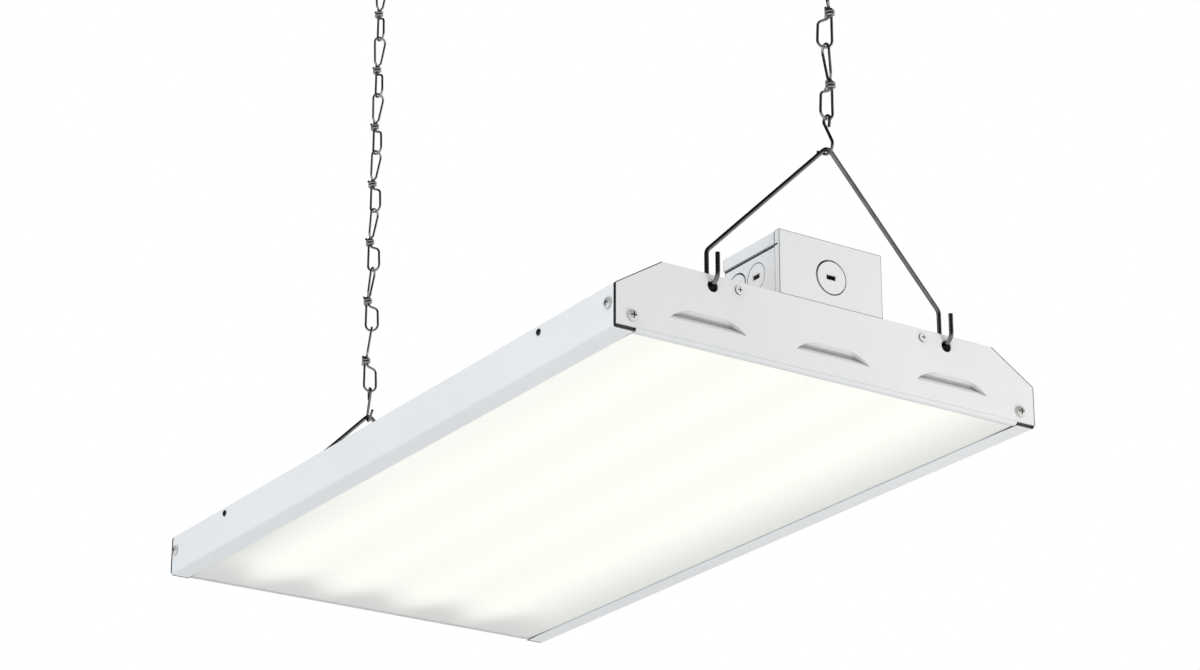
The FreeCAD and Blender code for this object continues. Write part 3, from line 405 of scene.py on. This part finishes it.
LOOKS = {
    "white_paint": powder_coat("white_paint", *WHITE_PAINT),
    "tray_paint": powder_coat("tray_paint", grey(0.9), grey(0.87), 0.2, 0.3),
    "frosted_lens": frosted_lens(),
    "board_white": moulded("board_white", grey(0.8), grey(0.86), 0.4),
    "led_chip": moulded("led_chip", (0.85, 0.68, 0.2), (0.92, 0.78, 0.3), 0.35),
    "white_nylon": moulded("white_nylon", (0.78, 0.78, 0.73), (0.84, 0.84, 0.8), 0.45),
    "black_rubber": moulded("black_rubber", grey(0.012), grey(0.02), 0.65),
    "driver_case": plated("driver_case", grey(0.68), grey(0.74)),
    "zinc_screw": plated("zinc_screw", (0.74, 0.74, 0.72), (0.86, 0.86, 0.84), 0.5),
    "painted_screw": painted_screw(),
    "dark_screw": moulded("dark_screw", grey(0.008), grey(0.014), 0.5),
    "ground_green": moulded("ground_green", (0.02, 0.2, 0.05), (0.04, 0.26, 0.07), 0.4),
    "line_black": moulded("line_black", grey(0.01), grey(0.016), 0.42),
    "neutral_white": moulded("neutral_white", (0.74, 0.74, 0.7), (0.82, 0.82, 0.79), 0.42),
    "board_lead_red": moulded("board_lead_red", (0.4, 0.02, 0.015), (0.5, 0.03, 0.02), 0.42),
    "splice_plastic": moulded("splice_plastic", (0.6, 0.61, 0.58), (0.7, 0.71, 0.68), 0.22),
    "hanger_steel": drawn_wire("hanger_steel", 0.2, 0.28),
    "chain_steel": drawn_wire("chain_steel", 0.4, 0.5),
    "ceiling_zinc": plated("ceiling_zinc", (0.56, 0.56, 0.55), (0.70, 0.70, 0.69), 0.45),
}
# Copies of the white powder coat that carry painted shade lines.
end_plate_paint_seam_shade = powder_coat("end_plate_paint_seam_shade", *WHITE_PAINT, plate_seam_shade)
SEAM_SHADED = {
    "housing": powder_coat("housing_paint_seam_shade", *WHITE_PAINT, housing_seam_shade),
    "near_end_plate": end_plate_paint_seam_shade,
    "far_end_plate": end_plate_paint_seam_shade,
    "wiring_box": powder_coat("box_paint_seam_shade", *WHITE_PAINT, box_seam_shade),
    "box_cover": powder_coat("cover_paint_seam_shade", *WHITE_PAINT, cover_seam_shade),
}

for part in frame["record"]["subparts"]:
    mesh = frame["nodes"][part["node"]].data
    mesh.materials.clear()
    mesh.materials.append(SEAM_SHADED.get(part["node"], LOOKS[part["material_slot"]]))


def make_floor():
    """Plain pale floor far below the light."""
    half = FLOOR_SIZE / 2
    corners = [(x * half, y * half, FLOOR_Z) for x, y in ((-1, -1), (1, -1), (1, 1), (-1, 1))]
    mesh = bpy.data.meshes.new("floor")
    mesh.from_pydata(corners, [], [(0, 1, 2, 3)])
    floor = bpy.data.objects.new("floor", mesh)
    bpy.context.collection.objects.link(floor)
    mesh.materials.append(moulded("floor", grey(0.84), grey(0.87), 0.7, 40.0))


def area_light(name, place, target, size, power, colour, beam=180.0):
    """Softbox that faces a target, with a grid that keeps its light within a beam of so many degrees."""
    data = bpy.data.lights.new(name, "AREA")
    data.shape = "RECTANGLE"
    data.size, data.size_y = size
    data.energy = power
    data.color = colour
    data.spread = math.radians(beam)
    light = bpy.data.objects.new(name, data)
    light.location = place
    light.rotation_euler = (Vector(target) - Vector(place)).to_track_quat("-Z", "Y").to_euler()
    light.visible_glossy = False
    bpy.context.collection.objects.link(light)


def make_studio():
    """White surround, which glossy rays see dark except on one side, and four softboxes."""
    world = bpy.data.worlds.new("studio")
    bpy.context.scene.world = world
    world.use_nodes = True
    tree = world.node_tree
    background = tree.nodes["Background"]
    background.inputs["Color"].default_value = (1.0, 1.0, 1.0, 1.0)
    rays = add(tree, "LightPath").outputs
    side = dot(tree, add(tree, "TexCoord").outputs["Generated"], GLINT_SIDE)
    glint = spread(tree, side, *GLINT_RANGE, GLINT_DARK, 1.0, smooth=True)
    level = spread(tree, rays["Is Glossy Ray"], 0.0, 1.0, AMBIENT, glint)
    seen = spread(tree, rays["Is Camera Ray"], 0.0, 1.0, level, 1.0)
    feed(tree, background.inputs["Strength"], seen)
    middle = (body_low + body_high) / 2
    near_corner = Vector((body_high.x, body_high.y + 0.08, body_high.z))
    right_lip = Vector((0.2, body_high.y, body_low.z))
    area_light("key", (1.6, 0.95, -0.8), near_corner, (0.5, 0.5), 0.4, (1.0, 0.98, 0.94), 45.0)
    area_light("low", (1.2, 1.0, -1.9), right_lip, (0.8, 0.8), 1.4, (1.0, 0.98, 0.95), 80.0)
    area_light("side", (-0.3, -2.8, -1.6), middle, (2.4, 1.6), 20.0, (0.66, 0.84, 1.0))
    area_light("fill", (0.5, -2.5, 1.5), middle, (1.6, 1.6), 24.0, (1.0, 0.98, 0.96))


def make_camera():
    """Camera at the photograph's place and angle."""
    data = bpy.data.cameras.new("camera")
    data.sensor_width = SENSOR_MM
    data.lens = SENSOR_MM * FOCAL_PX / PHOTO_WIDTH_PX
    camera = bpy.data.objects.new("camera", data)
    aim = (CAMERA_TARGET - CAMERA_PLACE).to_track_quat("-Z", "Y").to_matrix().to_4x4()
    roll = Matrix.Rotation(CAMERA_ROLL, 4, "Z")
    camera.matrix_world = Matrix.Translation(CAMERA_PLACE) @ aim @ roll
    bpy.context.collection.objects.link(camera)
    bpy.context.scene.camera = camera


make_floor()
make_studio()
make_camera()
bpy.context.scene.view_settings.view_transform = "Standard"
